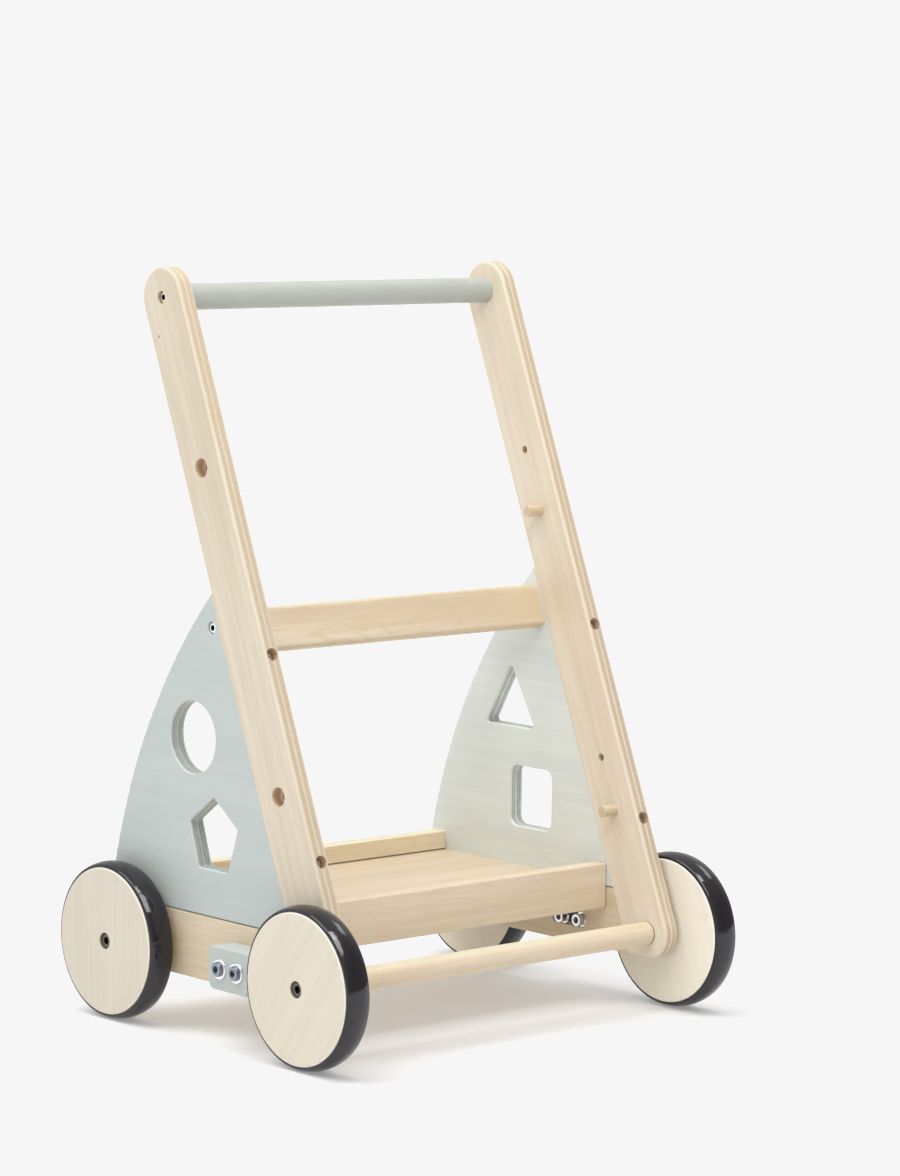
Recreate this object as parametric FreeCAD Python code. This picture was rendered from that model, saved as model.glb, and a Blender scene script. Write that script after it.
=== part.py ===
"""A wooden baby walker: four rubber-tyred wheels, a sorting tray and a push handle.

Millimetres.  +Z is up, X runs across the walker and -Y is its front, the way it
rolls away from the child, who pushes from the +Y side.  The origin is on the
floor under the middle of the wheelbase.  Each node is written to parts/NODE.step.
"""
import FreeCAD, Part
import math
import os

V = FreeCAD.Vector
NEAR = 0.01                   # two points closer than this are the same point
X_AXIS = V(1, 0, 0)
Y_AXIS = V(0, 1, 0)
Z_AXIS = V(0, 0, 1)

# ---------------------------------------------------------------- driving sizes
PLY = 12.0                    # uprights, side panels, rails and tray boards
FRAME_OUTER = 150.0           # outer faces of the frame, either side of the middle
FRAME_INNER = FRAME_OUTER - PLY
JOINT_GAP = 0.2               # hairline where one board butts against another
ARRIS = 1.0                   # softened edge of a board
SOFT_ARRIS = 2.0              # softened edge of the uprights

# wheels
WHEEL_RADIUS = 54.0
DISC_RADIUS = 50.0
DISC_WIDTH = 20.0
HALF_WHEELBASE = 103.0
WHEEL_INNER = FRAME_OUTER + 4.0
WHEEL_OUTER = WHEEL_INNER + DISC_WIDTH
TYRE_INSET = 0.8              # the tyre's sides lie this far inside the disc's faces
TYRE_WALL = 0.8               # height of the tyre's flat side walls
TYRE_CROWN_SLOPE = math.radians(24)   # of the tread where it meets a rounded shoulder
TYRE_RIB_WIDTH = 4.0
TYRE_RIB_DEPTH = 2.0
DISC_BORE = 5.5               # radius; holds the bush and lets the bolt head in

# wheel fixings
BUSH_BORE = 4.05
BUSH_FLANGE_RADIUS = 8.5
BUSH_END_FLOAT = 0.4
BUSH_DEPTH = 13.5             # how far the bush reaches into the disc
SLEEVE_RADIUS = 4.0
SLEEVE_BORE = 3.1
AXLE_BOLT_RADIUS = 3.0
AXLE_HEAD_RADIUS = 5.0
AXLE_HEAD_HEIGHT = 4.5
AXLE_HEAD_ROUND = 0.6
AXLE_SOCKET_RADIUS = 2.9
AXLE_SOCKET_DEPTH = 3.0
AXLE_HOLE = 3.2
FRONT_BOLT_LENGTH = 45.0
REAR_BOLT_LENGTH = 30.0
INSERT_RADIUS = 4.5
FRONT_INSERT_LENGTH = 20.0
REAR_INSERT_LENGTH = 9.0
REAR_INSERT_FLANGE = 7.5
REAR_INSERT_FLANGE_THICKNESS = 1.5

# uprights: straight strips that lean back towards the child
LEAN = math.atan(0.4)
REAR_EDGE_AT_FLOOR = -100.6   # Y of the uprights' rear edge line at Z = 0
UPRIGHT_WIDTH = 41.0
HANDLE_Z = 491.0
FOOT_RADIUS = 18.0

# cross pieces
HANDLE_RADIUS = 9.0
CROSSBAR_RADIUS = 8.0
SOCKET_DEPTH = 4.0            # how far a dowel end is let into an upright
CROSS_RAIL_HEIGHT = 30.0
CROSS_RAIL_ROUND = 3.0
CROSS_RAIL_SETBACK = 1.5      # behind the uprights' rear edge
CROSS_RAIL_ALONG = 257.0      # its middle, measured up the slope from the floor line

# side rails and side panels
RAIL_BOTTOM = 36.5
RAIL_TOP = 80.5
RAIL_REAR = 129.0
RAIL_REAR_RADIUS = 18.0
PANEL_GAP = 0.3               # shadow gap between panel and rail
PANEL_BOTTOM = RAIL_TOP + PANEL_GAP
PANEL_TOP = 297.5
PANEL_TIP = 5.0               # the pointed top of the panel, softened all round
PANEL_ARC_MIDDLE = (81.8, 212.0)
PANEL_REAR = 128.6
CUTOUT_ARRIS = 0.8

# shape-sorting holes: Y and Z of each middle
CIRCLE_AT = (37.5, 199.3)
CIRCLE_RADIUS = 24.5
PENTAGON_AT = (14.6, 134.5)
PENTAGON_RADIUS = 27.0
PENTAGON_ROUND = 2.0
TRIANGLE_AT = (41.1, 197.3)
TRIANGLE_RADIUS = 30.0
TRIANGLE_ROUND = 2.5
SQUARE_AT = (18.3, 132.9)
SQUARE_SIDE = 43.4
SQUARE_ROUND = 7.0

# tray
TRAY_BOTTOM = 65.5
TRAY_TOP = 97.0
TRAY_FRONT = -61.5            # front face of the front board
TRAY_REAR = 109.6             # front face of the rear board
FLOOR_TOP = 83.5

# activity-board fixings on the uprights, placed by height on their middle line
FIXING_HEIGHTS = {"upper": 380.0, "lower": 170.8}
FIXING_HOLE = 2.75
FIXING_COUNTERBORE = 6.5
FIXING_COUNTERBORE_DEPTH = 6.0
PEG_HEIGHTS = {"upper": 338.3, "lower": 135.5}
PEG_RADIUS = 4.0
PEG_LENGTH = 12.0
PEG_TENON_RADIUS = 3.5        # the narrower end that is glued into the upright
PEG_TENON_LENGTH = 8.0
PEG_ROUND = 0.8

# wood screws
SCREW_RADIUS = 2.0
SCREW_HEAD_RADIUS = 3.9
SCREW_HEAD_HEIGHT = 3.0
SCREW_HEAD_ROUND = 1.2
SCREW_POINT_LENGTH = 4.0
SCREW_POINT_RADIUS = 0.4
SCREW_CLEARANCE = 2.2
SCREW_PILOT = 2.05
SCREW_COUNTERBORE = 4.3
SCREW_SOCKET_RADIUS = 1.7
SCREW_SOCKET_DEPTH = 1.8
HANDLE_SCREW_DEPTH = 5.0
CROSS_SCREW_DEPTH = 4.0
SIDE_SCREW_LENGTH = 45.0
EDGE_SCREW_HEIGHTS = {"upper": 262.6, "lower": 132.5}
EDGE_SCREW_DEPTH = 8.0
EDGE_SCREW_LENGTH = 60.0
CROSS_SCREW_RISE = 4.5        # the screw sits above the cross rail's middle

# hidden wooden dowels
DOWEL_RADIUS = 3.0
DOWEL_FIT = 0.05
DOWEL_LENGTH = 24.0
BOARD_DOWEL_SHORT = 8.0       # the part of a tray dowel inside a 12 mm board's face
PANEL_DOWEL_Y = (-38.0, 31.0, 97.0)
FOOT_DOWEL_HEIGHTS = (49.0, 70.0)
FOOT_DOWEL_IN_FOOT = 10.0
BOARD_DOWEL_HEIGHTS = (72.5, 90.0)
FLOOR_DOWEL_X = (-90.0, 0.0, 90.0)

# sliding brake blocks
BRAKE_Z = 53.5
BRAKE_FRONT = -48.5
BRAKE_LENGTH = 42.5
BRAKE_HEIGHT = 29.0
BRAKE_THICKNESS = 19.0
BRAKE_CLEARANCE = 0.3         # between block and rail
BRAKE_CORNER = 5.0
BRAKE_BOLT_SPACING = 18.0
BRAKE_TRAVEL = 7.0
BRAKE_BOLT_RADIUS = 2.5
BRAKE_BOLT_HOLE = 2.6
BRAKE_FLANGE_RADIUS = 7.0
BRAKE_FLANGE_THICKNESS = 1.6
BRAKE_FLANGE_ROUND = 0.9
BRAKE_HEAD_RADIUS = 4.8
BRAKE_HEAD_HEIGHT = 2.2
BRAKE_HEAD_ROUND = 0.7
BRAKE_SOCKET_RADIUS = 2.6
BRAKE_SOCKET_DEPTH = 1.9
NUT_NECK_RADIUS = 3.8
NUT_FLANGE_RADIUS = 5.2
NUT_FLANGE_THICKNESS = 1.8
NUT_BARREL_RADIUS = 4.1
NUT_BARREL_LENGTH = 5.0
NUT_END_DEPTH = 1.2           # the bolt's tip stops this far inside the nut
SLOT_CLEARANCE = 0.4          # all round the nut, inside the slot
SLOT_RECESS_DEPTH = 2.6

SIDES = {"left": -1, "right": 1}
ENDS = {"front": -1, "rear": 1}


# ------------------------------------------------------------- lines of the lean
def rear_edge(z):
    """Y of the uprights' rear edge at height z."""
    return REAR_EDGE_AT_FLOOR + math.tan(LEAN) * z


def middle_line(z):
    """Y of the uprights' middle line at height z."""
    return rear_edge(z) - 0.5 * UPRIGHT_WIDTH / math.cos(LEAN)


def front_edge(z):
    """Y of the uprights' front edge at height z."""
    return rear_edge(z) - UPRIGHT_WIDTH / math.cos(LEAN)


UP_SLOPE = V(0, math.sin(LEAN), math.cos(LEAN))
BACKWARDS = V(0, math.cos(LEAN), -math.sin(LEAN))
HANDLE_Y = middle_line(HANDLE_Z)


# ------------------------------------------------------------------ solid makers
def rod(start, end, radius):
    """A cylinder from one point to another."""
    axis = end.sub(start)
    return Part.makeCylinder(radius, axis.Length, start, axis)


def across(side, inner, outer, y, z, radius):
    """A cylinder along X between two distances from the middle, on one side."""
    return rod(V(side * inner, y, z), V(side * outer, y, z), radius)


def hexagon_across(side, inner, outer, y, z, radius):
    """A hexagonal prism along X, on one side."""
    corners = []
    for k in range(7):
        turn = math.radians(60 * k)
        corners.append(V(0, y + radius * math.cos(turn), z + radius * math.sin(turn)))
    return slab(Part.makePolygon(corners), side, inner, outer)


def slab(outline, side, inner, outer):
    """A flat outline in the YZ plane, thickened between two distances from the middle."""
    face = Part.Face(outline)
    face.translate(V(min(side * inner, side * outer), 0, 0))
    return face.extrude(V(outer - inner, 0, 0))


def path(*steps):
    """A closed YZ outline; a step is a corner (y, z) or an arc's (middle, end) pair."""
    start = V(0, *steps[0])
    here = start
    edges = []
    for step in steps[1:]:
        if isinstance(step[0], tuple):
            middle = V(0, *step[0])
            end = V(0, *step[1])
            edges.append(Part.Arc(here, middle, end).toShape())
        else:
            end = V(0, *step)
            edges.append(Part.LineSegment(here, end).toShape())
        here = end
    if here.distanceToPoint(start) > NEAR:
        edges.append(Part.LineSegment(here, start).toShape())
    return Part.Wire(edges)


def rounded_polygon(middle, corners, corner_radius):
    """A YZ outline through the given corners (relative to middle), each one rounded."""
    points = [V(0, middle[0] + y, middle[1] + z) for y, z in corners]
    count = len(points)
    edges = []
    previous_end = None
    first_start = None
    for k in range(count):
        corner = points[k]
        back = points[k - 1].sub(corner).normalize()
        ahead = points[(k + 1) % count].sub(corner).normalize()
        half = 0.5 * back.getAngle(ahead)
        reach = corner_radius / math.tan(half)
        start = corner + back * reach
        end = corner + ahead * reach
        inward = (back + ahead).normalize()
        centre = corner + inward * (corner_radius / math.sin(half))
        nearest = centre - inward * corner_radius
        if previous_end is not None:
            edges.append(Part.LineSegment(previous_end, start).toShape())
        else:
            first_start = start
        edges.append(Part.Arc(start, nearest, end).toShape())
        previous_end = end
    edges.append(Part.LineSegment(previous_end, first_start).toShape())
    return Part.Wire(edges)


def regular(sides, radius):
    """Corners of a regular polygon standing on a flat side, point upwards."""
    corners = []
    for k in range(sides):
        turn = 0.5 * math.pi + 2 * math.pi * k / sides
        corners.append((radius * math.cos(turn), radius * math.sin(turn)))
    return corners


def soften(solid, radius, wanted):
    """Round the edges that the test picks by their middle point."""
    chosen = []
    for edge in solid.Edges:
        middle = edge.valueAt(0.5 * (edge.FirstParameter + edge.LastParameter))
        if wanted(middle):
            chosen.append(edge)
    return solid.makeFillet(radius, chosen)


def on_a_face(side):
    """Test for points that lie on a frame board's outer or inner face."""
    def test(point):
        distance = side * point.x
        return min(abs(distance - FRAME_OUTER), abs(distance - FRAME_INNER)) < NEAR
    return test


def board(x_half, y_low, y_high, z_low, z_high, radius=ARRIS):
    """A board across the walker with its long edges softened."""
    solid = Part.makeBox(2 * x_half, y_high - y_low, z_high - z_low, V(-x_half, y_low, z_low))
    return soften(solid, radius, lambda point: abs(point.x) < NEAR)


def butt_strip(side, start, width, z_low, z_high):
    """Square-edged strip along the uprights' rear edge line, to fill a softened edge."""
    near = start / math.cos(LEAN)
    far = (start + width) / math.cos(LEAN)
    outline = path(
        (rear_edge(z_low) + near, z_low),
        (rear_edge(z_high) + near, z_high),
        (rear_edge(z_high) + far, z_high),
        (rear_edge(z_low) + far, z_low),
    )
    return slab(outline, side, FRAME_INNER, FRAME_OUTER)


# ------------------------------------------------------------------- frame nodes
def upright(side):
    """Leaning ply strip with a round top and a rounded toe."""
    half = 0.5 * UPRIGHT_WIDTH
    top = V(0, HANDLE_Y, HANDLE_Z)
    rear_top = top + BACKWARDS * half
    apex = top + UP_SLOPE * half
    front_top = top - BACKWARDS * half
    toe_z = RAIL_BOTTOM + FOOT_RADIUS
    toe_y = front_edge(toe_z) + FOOT_RADIUS / math.cos(LEAN)
    toe = V(0, toe_y, toe_z)
    toe_front = toe - BACKWARDS * FOOT_RADIUS
    toe_middle = toe - (BACKWARDS + Z_AXIS).normalize() * FOOT_RADIUS
    outline = path(
        (rear_edge(RAIL_BOTTOM), RAIL_BOTTOM),
        (rear_top.y, rear_top.z),
        ((apex.y, apex.z), (front_top.y, front_top.z)),
        (toe_front.y, toe_front.z),
        ((toe_middle.y, toe_middle.z), (toe_y, RAIL_BOTTOM)),
    )
    strip = slab(outline, side, FRAME_INNER, FRAME_OUTER)
    strip = soften(strip, SOFT_ARRIS, on_a_face(side))
    # square edge where the rail and the panel butt against it
    strip = strip.fuse(butt_strip(side, 0, -SOFT_ARRIS, RAIL_BOTTOM, PANEL_TOP)).removeSplitter()
    cuts = []
    socket_end = FRAME_INNER + SOCKET_DEPTH
    cuts.append(across(side, FRAME_INNER, socket_end, HANDLE_Y, HANDLE_Z, HANDLE_RADIUS))
    cuts.append(across(side, FRAME_INNER, FRAME_OUTER, HANDLE_Y, HANDLE_Z, SCREW_CLEARANCE))
    seat = FRAME_OUTER - HANDLE_SCREW_DEPTH
    cuts.append(across(side, seat, FRAME_OUTER, HANDLE_Y, HANDLE_Z, SCREW_COUNTERBORE))
    axle = (-HALF_WHEELBASE, WHEEL_RADIUS)
    cuts.append(across(side, FRAME_INNER, socket_end, *axle, CROSSBAR_RADIUS))
    cuts.append(across(side, FRAME_INNER, FRAME_OUTER, *axle, AXLE_HOLE))
    for z in FIXING_HEIGHTS.values():
        y = middle_line(z)
        seat = FRAME_OUTER - FIXING_COUNTERBORE_DEPTH
        cuts.append(across(side, FRAME_INNER, FRAME_OUTER, y, z, FIXING_HOLE))
        cuts.append(across(side, seat, FRAME_OUTER, y, z, FIXING_COUNTERBORE))
    for z in PEG_HEIGHTS.values():
        socket_end = FRAME_INNER + PEG_TENON_LENGTH
        cuts.append(across(side, FRAME_INNER, socket_end, middle_line(z), z, PEG_TENON_RADIUS))
    for z in EDGE_SCREW_HEIGHTS.values():
        mouth = edge_screw_mouth(side, z)
        cuts.append(rod(mouth, mouth + BACKWARDS * UPRIGHT_WIDTH, SCREW_CLEARANCE))
        cuts.append(rod(mouth, mouth + BACKWARDS * EDGE_SCREW_DEPTH, SCREW_COUNTERBORE))
    cuts += [foot_dowel(side, z, DOWEL_FIT) for z in FOOT_DOWEL_HEIGHTS]
    return strip.cut(cuts)


def edge_screw_mouth(side, z):
    """Where a screw goes into an upright's front edge."""
    return V(side * (FRAME_INNER + 0.5 * PLY), front_edge(z), z)


def foot_dowel(side, z, spare=0.0):
    """Hidden dowel between an upright's foot and the side rail behind it."""
    middle = V(side * (FRAME_INNER + 0.5 * PLY), rear_edge(z), z)
    start = middle - BACKWARDS * (FOOT_DOWEL_IN_FOOT + spare)
    end = middle + BACKWARDS * (DOWEL_LENGTH - FOOT_DOWEL_IN_FOOT + spare)
    return rod(start, end, DOWEL_RADIUS + spare)


def panel_dowel(side, y, spare=0.0):
    """Hidden upright dowel between a side rail and the panel on it."""
    x = side * (FRAME_INNER + 0.5 * PLY)
    half = 0.5 * DOWEL_LENGTH + spare
    return rod(V(x, y, RAIL_TOP - half), V(x, y, RAIL_TOP + half), DOWEL_RADIUS + spare)


def board_dowel(side, y, z, spare=0.0):
    """Hidden dowel between a tray board's end and the rail or panel beside it."""
    outer = FRAME_INNER + BOARD_DOWEL_SHORT + spare
    inner = FRAME_INNER + BOARD_DOWEL_SHORT - DOWEL_LENGTH - spare
    return across(side, inner, outer, y, z, DOWEL_RADIUS + spare)


def floor_dowel(x, end, spare=0.0):
    """Hidden dowel between the tray floor's edge and the front or rear board."""
    joint = TRAY_FRONT + PLY if end < 0 else TRAY_REAR
    z = FLOOR_TOP - 0.5 * PLY
    start = V(x, joint + end * (BOARD_DOWEL_SHORT + spare), z)
    finish = V(x, joint - end * (DOWEL_LENGTH - BOARD_DOWEL_SHORT + spare), z)
    return rod(start, finish, DOWEL_RADIUS + spare)


def tray_board_places():
    """Y of the middle of the front and the rear tray board."""
    return (TRAY_FRONT + 0.5 * PLY, TRAY_REAR + 0.5 * PLY)


def board_dowels(side, spare=0.0):
    """All the dowels that hold the tray boards to one side."""
    places = []
    for y in tray_board_places():
        for z in BOARD_DOWEL_HEIGHTS:
            places.append(board_dowel(side, y, z, spare))
    return places


def side_rail(side):
    """Natural wood rail between the wheels, with the brake block's slot."""
    rear_low = RAIL_BOTTOM + RAIL_REAR_RADIUS
    diagonal = RAIL_REAR_RADIUS * math.sin(math.radians(45))
    bend = (RAIL_REAR - RAIL_REAR_RADIUS + diagonal, rear_low - diagonal)
    outline = path(
        (rear_edge(RAIL_BOTTOM) + JOINT_GAP, RAIL_BOTTOM),
        (RAIL_REAR - RAIL_REAR_RADIUS, RAIL_BOTTOM),
        (bend, (RAIL_REAR, rear_low)),
        (RAIL_REAR, RAIL_TOP),
        (rear_edge(RAIL_TOP) + JOINT_GAP, RAIL_TOP),
    )
    rail = slab(outline, side, FRAME_INNER, FRAME_OUTER)
    face = on_a_face(side)
    sloping_end = rear_edge(0.5 * (RAIL_BOTTOM + RAIL_TOP)) + 2 * ARRIS
    rail = soften(rail, ARRIS, lambda point: face(point) and point.y > sloping_end)
    cuts = []
    slot_reach = NUT_NECK_RADIUS + SLOT_CLEARANCE
    recess_reach = NUT_FLANGE_RADIUS + SLOT_CLEARANCE
    cuts.append(slab(brake_slot(slot_reach), side, FRAME_INNER, FRAME_OUTER))
    recess_end = FRAME_INNER + SLOT_RECESS_DEPTH
    cuts.append(slab(brake_slot(recess_reach), side, FRAME_INNER, recess_end))
    axle = (HALF_WHEELBASE, WHEEL_RADIUS)
    cuts.append(across(side, FRAME_INNER, FRAME_OUTER, *axle, AXLE_HOLE))
    insert_end = FRAME_INNER + REAR_INSERT_LENGTH
    cuts.append(across(side, FRAME_INNER, insert_end, *axle, INSERT_RADIUS))
    cuts += [foot_dowel(side, z, DOWEL_FIT) for z in FOOT_DOWEL_HEIGHTS]
    cuts += [panel_dowel(side, y, DOWEL_FIT) for y in PANEL_DOWEL_Y]
    cuts += board_dowels(side, DOWEL_FIT)
    return rail.cut(cuts)


def brake_bolt_places():
    """Y of the front and the rear bolt of a brake block."""
    middle = BRAKE_FRONT + 0.5 * BRAKE_LENGTH
    return (middle - 0.5 * BRAKE_BOLT_SPACING, middle + 0.5 * BRAKE_BOLT_SPACING)


def brake_slot(reach):
    """Outline of the slot that both nuts of a brake block slide in."""
    front, rear = brake_bolt_places()
    rear += BRAKE_TRAVEL
    return path(
        (front, BRAKE_Z - reach),
        (rear, BRAKE_Z - reach),
        ((rear + reach, BRAKE_Z), (rear, BRAKE_Z + reach)),
        (front, BRAKE_Z + reach),
        ((front - reach, BRAKE_Z), (front, BRAKE_Z - reach)),
    )


def side_panel(side):
    """Painted quarter-arch panel with its two sorting holes."""
    outline = path(
        (rear_edge(PANEL_BOTTOM) + JOINT_GAP, PANEL_BOTTOM),
        (PANEL_REAR, PANEL_BOTTOM),
        (PANEL_ARC_MIDDLE, (rear_edge(PANEL_TOP) + JOINT_GAP, PANEL_TOP)),
    )
    panel = slab(outline, side, FRAME_INNER, FRAME_OUTER)
    face = on_a_face(side)
    panel = soften(panel, ARRIS, face)
    # square edge where the panel butts against the upright
    low = PANEL_BOTTOM + ARRIS
    high = PANEL_TOP - PANEL_TIP
    strip = butt_strip(side, JOINT_GAP * math.cos(LEAN), 1.5 * ARRIS, low, high)
    panel = panel.fuse(strip).removeSplitter()
    holes = sorting_holes(side)
    for hole in holes:
        panel = panel.cut(slab(hole, side, FRAME_INNER, FRAME_OUTER))

    def on_hole_edge(point):
        if not face(point):
            return False
        return any(hole.BoundBox.isInside(V(0, point.y, point.z)) for hole in holes)

    panel = soften(panel, CUTOUT_ARRIS, on_hole_edge)
    cuts = []
    screw = cross_screw_place()
    cuts.append(across(side, FRAME_INNER, FRAME_OUTER, screw.y, screw.z, SCREW_CLEARANCE))
    seat = FRAME_OUTER - CROSS_SCREW_DEPTH
    cuts.append(across(side, seat, FRAME_OUTER, screw.y, screw.z, SCREW_COUNTERBORE))
    for z in EDGE_SCREW_HEIGHTS.values():
        mouth = edge_screw_mouth(side, z)
        reach = EDGE_SCREW_DEPTH + EDGE_SCREW_LENGTH + JOINT_GAP
        cuts.append(rod(mouth, mouth + BACKWARDS * reach, SCREW_PILOT))
    cuts += [panel_dowel(side, y, DOWEL_FIT) for y in PANEL_DOWEL_Y]
    cuts += board_dowels(side, DOWEL_FIT)
    return panel.cut(cuts)


def sorting_holes(side):
    """Circle and pentagon on the left, triangle and rounded square on the right."""
    if side < 0:
        centre = V(0, *CIRCLE_AT)
        circle = Part.Wire(Part.Circle(centre, X_AXIS, CIRCLE_RADIUS).toShape())
        corners = regular(5, PENTAGON_RADIUS)
        pentagon = rounded_polygon(PENTAGON_AT, corners, PENTAGON_ROUND)
        return [circle, pentagon]
    corners = regular(3, TRIANGLE_RADIUS)
    triangle = rounded_polygon(TRIANGLE_AT, corners, TRIANGLE_ROUND)
    half = 0.5 * SQUARE_SIDE
    corners = [(half, half), (-half, half), (-half, -half), (half, -half)]
    square = rounded_polygon(SQUARE_AT, corners, SQUARE_ROUND)
    return [triangle, square]


def cross_rail_middle():
    """Middle of the cross rail's section."""
    floor_line = V(0, REAR_EDGE_AT_FLOOR, 0)
    start = floor_line - UP_SLOPE * floor_line.dot(UP_SLOPE)
    behind = CROSS_RAIL_SETBACK + 0.5 * PLY
    return start + UP_SLOPE * CROSS_RAIL_ALONG + BACKWARDS * behind


def cross_screw_place():
    """Where the screw through a side panel meets the cross rail's end."""
    return cross_rail_middle() + UP_SLOPE * CROSS_SCREW_RISE


def cross_rail():
    """Leaning rail between the side panels, just behind the uprights."""
    half_height = 0.5 * CROSS_RAIL_HEIGHT
    half_depth = 0.5 * PLY
    middle = cross_rail_middle()
    corners = []
    for up, back in ((-1, -1), (-1, 1), (1, 1), (1, -1)):
        corner = UP_SLOPE * (up * half_height) + BACKWARDS * (back * half_depth)
        corners.append((corner.y, corner.z))
    outline = rounded_polygon((middle.y, middle.z), corners, CROSS_RAIL_ROUND)
    face = Part.Face(outline)
    half = FRAME_INNER - 0.5 * JOINT_GAP
    face.translate(V(-half, 0, 0))
    rail = face.extrude(V(2 * half, 0, 0))
    place = cross_screw_place()
    depth = FRAME_OUTER - CROSS_SCREW_DEPTH - SIDE_SCREW_LENGTH
    cuts = [across(s, depth, half, place.y, place.z, SCREW_PILOT) for s in SIDES.values()]
    return rail.cut(cuts)


def handle():
    """Painted round push handle, let into both uprights."""
    half = FRAME_INNER + SOCKET_DEPTH
    start = V(-half, HANDLE_Y, HANDLE_Z)
    bar = rod(start, V(half, HANDLE_Y, HANDLE_Z), HANDLE_RADIUS)
    depth = FRAME_OUTER - HANDLE_SCREW_DEPTH - SIDE_SCREW_LENGTH
    cuts = [across(s, depth, half, HANDLE_Y, HANDLE_Z, SCREW_PILOT) for s in SIDES.values()]
    return bar.cut(cuts)


def front_crossbar():
    """Natural round bar between the feet, on the line of the front axle."""
    half = FRAME_INNER + SOCKET_DEPTH
    y = -HALF_WHEELBASE
    bar = rod(V(-half, y, WHEEL_RADIUS), V(half, y, WHEEL_RADIUS), CROSSBAR_RADIUS)
    depth = half - FRONT_INSERT_LENGTH
    cuts = [across(s, depth, half, y, WHEEL_RADIUS, INSERT_RADIUS) for s in SIDES.values()]
    return bar.cut(cuts)


def tray_board(y_low):
    """Front or rear board of the tray."""
    half = FRAME_INNER - 0.5 * JOINT_GAP
    solid = board(half, y_low, y_low + PLY, TRAY_BOTTOM, TRAY_TOP)
    cuts = [floor_dowel(x, end, DOWEL_FIT) for x in FLOOR_DOWEL_X for end in ENDS.values()]
    for side in SIDES.values():
        cuts += board_dowels(side, DOWEL_FIT)
    return solid.cut(cuts)


def tray_floor():
    """Flat floor board between the tray's front and rear boards."""
    low = TRAY_FRONT + PLY + JOINT_GAP
    high = TRAY_REAR - JOINT_GAP
    half = FRAME_INNER - 0.5 * JOINT_GAP
    solid = board(half, low, high, FLOOR_TOP - PLY, FLOOR_TOP, 0.5 * ARRIS)
    cuts = [floor_dowel(x, end, DOWEL_FIT) for x in FLOOR_DOWEL_X for end in ENDS.values()]
    return solid.cut(cuts)


def peg(side, z):
    """Short wooden locating peg on an upright's inner face, with a glued tenon."""
    y = middle_line(z)
    tip = FRAME_INNER - PEG_LENGTH
    pin = across(side, tip, FRAME_INNER, y, z, PEG_RADIUS)
    pin = soften(pin, PEG_ROUND, lambda point: abs(side * point.x - tip) < NEAR)
    tenon_end = FRAME_INNER + PEG_TENON_LENGTH
    return pin.fuse(across(side, FRAME_INNER, tenon_end, y, z, PEG_TENON_RADIUS))


# --------------------------------------------------------------------- fastenings
def wood_screw(seat, direction, length):
    """Round-headed wood screw: seat is under its head, direction is into the wood."""
    shank_end = seat + direction * (length - SCREW_POINT_LENGTH)
    shank = rod(seat, shank_end, SCREW_RADIUS)
    tip = Part.makeCone(SCREW_RADIUS, SCREW_POINT_RADIUS, SCREW_POINT_LENGTH, shank_end, direction)
    head_top = seat - direction * SCREW_HEAD_HEIGHT
    head = round_rim(rod(seat, head_top, SCREW_HEAD_RADIUS), head_top, SCREW_HEAD_RADIUS, SCREW_HEAD_ROUND)
    recess = rod(head_top, head_top + direction * SCREW_SOCKET_DEPTH, SCREW_SOCKET_RADIUS)
    return shank.fuse([tip, head]).removeSplitter().cut(recess)


def round_rim(solid, centre, rim_radius, fillet_radius):
    """Round the circular edge of that radius round a point."""
    rim = []
    for edge in solid.Edges:
        curve = edge.Curve
        if isinstance(curve, Part.Circle) and abs(curve.Radius - rim_radius) < NEAR:
            if curve.Center.distanceToPoint(centre) < NEAR:
                rim.append(edge)
    return solid.makeFillet(fillet_radius, rim)


def side_screw(side, depth, place):
    """Screw that goes in through a frame board's outer face."""
    seat = V(side * (FRAME_OUTER - depth), place.y, place.z)
    return wood_screw(seat, X_AXIS * -side, SIDE_SCREW_LENGTH)


def edge_screw(side, z):
    """Long screw through an upright's width into the side panel."""
    seat = edge_screw_mouth(side, z) + BACKWARDS * EDGE_SCREW_DEPTH
    return wood_screw(seat, BACKWARDS, EDGE_SCREW_LENGTH)


def tray_dowels():
    """Every hidden dowel of the tray."""
    group = [floor_dowel(x, end) for x in FLOOR_DOWEL_X for end in ENDS.values()]
    for side in SIDES.values():
        group += board_dowels(side)
    return Part.makeCompound(group)


# ------------------------------------------------------------------------- wheels
def ring(side, y, profile):
    """A profile of (distance from the middle, radius) points and arcs, turned about the axle."""
    wire = path(*profile)
    face = Part.Face(wire)
    solid = face.revolve(V(0, 0, 0), Y_AXIS, 360)
    solid.rotate(V(0, 0, 0), Z_AXIS, -90 if side > 0 else 90)
    solid.translate(V(0, y, WHEEL_RADIUS))
    return solid


def wheel_disc(side, y):
    """Solid wooden wheel with a groove for the tyre's rib and a bore for the bush."""
    disc = across(side, WHEEL_INNER, WHEEL_OUTER, y, WHEEL_RADIUS, DISC_RADIUS)
    middle = 0.5 * (WHEEL_INNER + WHEEL_OUTER)
    disc = soften(disc, ARRIS, lambda point: abs(side * point.x - middle) > TYRE_RIB_WIDTH)
    low = middle - 0.5 * TYRE_RIB_WIDTH
    high = middle + 0.5 * TYRE_RIB_WIDTH
    groove = across(side, low, high, y, WHEEL_RADIUS, DISC_RADIUS + 1)
    core = across(side, low, high, y, WHEEL_RADIUS, DISC_RADIUS - TYRE_RIB_DEPTH)
    bore = across(side, WHEEL_INNER, WHEEL_OUTER, y, WHEEL_RADIUS, DISC_BORE)
    disc = disc.cut(groove.cut(core)).cut(bore)
    return round_rim(disc, V(side * WHEEL_OUTER, y, WHEEL_RADIUS), DISC_BORE, CUTOUT_ARRIS)


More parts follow.
